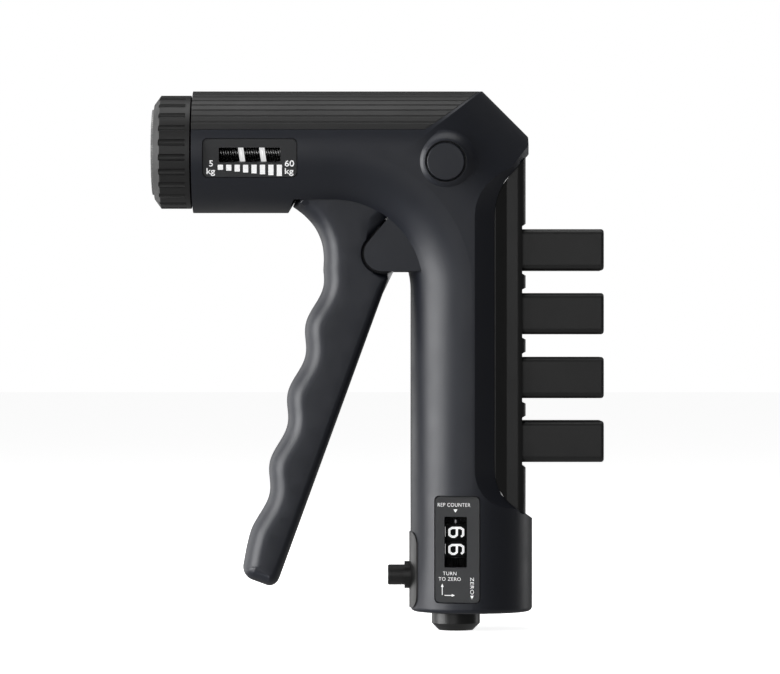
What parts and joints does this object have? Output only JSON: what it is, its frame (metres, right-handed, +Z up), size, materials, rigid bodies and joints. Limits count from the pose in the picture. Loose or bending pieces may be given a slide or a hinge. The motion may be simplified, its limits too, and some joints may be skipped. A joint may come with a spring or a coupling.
{
  "type": "adjustable hand gripper with finger keys",
  "caption": "Pistol-shaped hand exerciser: a sprung squeeze lever with adjustable tension knob, spring-loaded finger keys on the back and a squeeze counter in the base.",
  "frame": {"origin": "middle of the overall length and width, at the height of the reset knob's underside", "axes": "+X from the tension knob towards the finger keys, +Z up along the pillar, Y across the width; the gauge and counter face -Y"},
  "size_m": [0.141, 0.04, 0.1678],
  "materials": {
    "body_plastic": "fine spark-eroded satin",
    "cover_plastic": "ribbed satin",
    "end_cap": "fine speckled texture",
    "key_plastic": "satin",
    "gloss_black": "semi-gloss",
    "plate_print": "printed satin plate",
    "wheel_print": "black with white figures",
    "clear_window": "clear",
    "inner_plastic": "moulded",
    "brass": "turned",
    "steel": "plain",
    "spring_steel": "bright drawn wire"
  },
  "bodies": {
    "body": {"left_shell": "body_plastic", "right_shell": "body_plastic", "top_cover": "cover_plastic", "shell_screws": "steel", "gauge_plate": "plate_print", "gauge_lens": "clear_window", "spring_tube": "inner_plastic", "screw_bush": "brass", "main_spring": "spring_steel", "corner_bolt": "steel", "corner_nut": "steel", "left_corner_cap": "body_plastic", "right_corner_cap": "body_plastic", "left_hinge_cheek": "body_plastic", "right_hinge_cheek": "body_plastic", "handle_pin": "steel", "key_housing": "gloss_black", "key_guide": "inner_plastic", "key_spring_1": "spring_steel", "key_spring_2": "spring_steel", "key_spring_3": "spring_steel", "key_spring_4": "spring_steel", "counter_plate": "plate_print", "counter_lens": "clear_window", "counter_frame": "inner_plastic", "plunger_pad": "gloss_black", "plunger_collar": "gloss_black", "plunger_spring": "spring_steel"},
    "handle": {"handle_grip": "body_plastic", "handle_arm": "steel"},
    "knob": {"tension_knob": "cover_plastic", "knob_end_cap": "end_cap", "lead_screw": "steel", "screw_clip": "steel"},
    "nut": {"spring_nut": "inner_plastic"},
    "cup": {"spring_cup": "steel"},
    "key_1": {"finger_key_1": "key_plastic"},
    "key_2": {"finger_key_2": "key_plastic"},
    "key_3": {"finger_key_3": "key_plastic"},
    "key_4": {"finger_key_4": "key_plastic"},
    "plunger": {"counter_plunger": "key_plastic"},
    "reset": {"reset_knob": "gloss_black", "counter_axle": "steel"},
    "units": {"units_wheel": "wheel_print", "count_ratchet": "inner_plastic"},
    "tens": {"tens_wheel": "wheel_print"}
  },
  "joints": [
    {"name": "handle_hinge", "type": "hinge", "parent": "body", "child": "handle", "pos_m": [0.00157, 0, 0.117], "axis": [0, -1, 0], "range_deg": [0, 18.2], "stiffness_Nm_per_rad": 6, "springref_deg": -8.59, "deforming": ["main_spring"]},
    {"name": "cup_slide", "type": "slide", "parent": "body", "child": "cup", "axis": [-1, 0, 0], "range_m": [0, 0.0102]},
    {"name": "knob_turn", "type": "hinge", "parent": "body", "child": "knob", "pos_m": [-0.0642, 0, 0.1488], "axis": [1, 0, 0], "range_deg": [0, 2160]},
    {"name": "nut_slide", "type": "slide", "parent": "body", "child": "nut", "axis": [1, 0, 0], "range_m": [0, 0.0182]},
    {"name": "key_1_press", "type": "slide", "parent": "body", "child": "key_1", "axis": [-1, 0, 0], "range_m": [0, 0.012], "stiffness_N_per_m": 600, "springref_m": -0.006, "deforming": ["key_spring_1"]},
    {"name": "key_2_press", "type": "slide", "parent": "body", "child": "key_2", "axis": [-1, 0, 0], "range_m": [0, 0.012], "stiffness_N_per_m": 600, "springref_m": -0.006, "deforming": ["key_spring_2"]},
    {"name": "key_3_press", "type": "slide", "parent": "body", "child": "key_3", "axis": [-1, 0, 0], "range_m": [0, 0.012], "stiffness_N_per_m": 600, "springref_m": -0.006, "deforming": ["key_spring_3"]},
    {"name": "key_4_press", "type": "slide", "parent": "body", "child": "key_4", "axis": [-1, 0, 0], "range_m": [0, 0.012], "stiffness_N_per_m": 600, "springref_m": -0.006, "deforming": ["key_spring_4"]},
    {"name": "plunger_press", "type": "slide", "parent": "body", "child": "plunger", "axis": [1, 0, 0], "range_m": [0, 0.0035], "stiffness_N_per_m": 200, "springref_m": -0.003, "deforming": ["plunger_spring"]},
    {"name": "reset_turn", "type": "hinge", "parent": "body", "child": "reset", "pos_m": [0.0246, -0.005, 0.003], "axis": [0, 0, 1], "continuous": true},
    {"name": "units_turn", "type": "hinge", "parent": "body", "child": "units", "pos_m": [0.0246, -0.005, 0.0254], "axis": [0, 0, 1], "continuous": true},
    {"name": "tens_turn", "type": "hinge", "parent": "body", "child": "tens", "pos_m": [0.0246, -0.005, 0.0307], "axis": [0, 0, 1], "continuous": true}
  ],
  "couplings": [
    {"joint": "cup_slide", "follows": "handle_hinge", "m_per_rad": 0.0317},
    {"joint": "nut_slide", "follows": "knob_turn", "m_per_rad": 0.00047746},
    {"joint": "tens_turn", "follows": "units_turn", "ratio": 0.1}
  ]
}
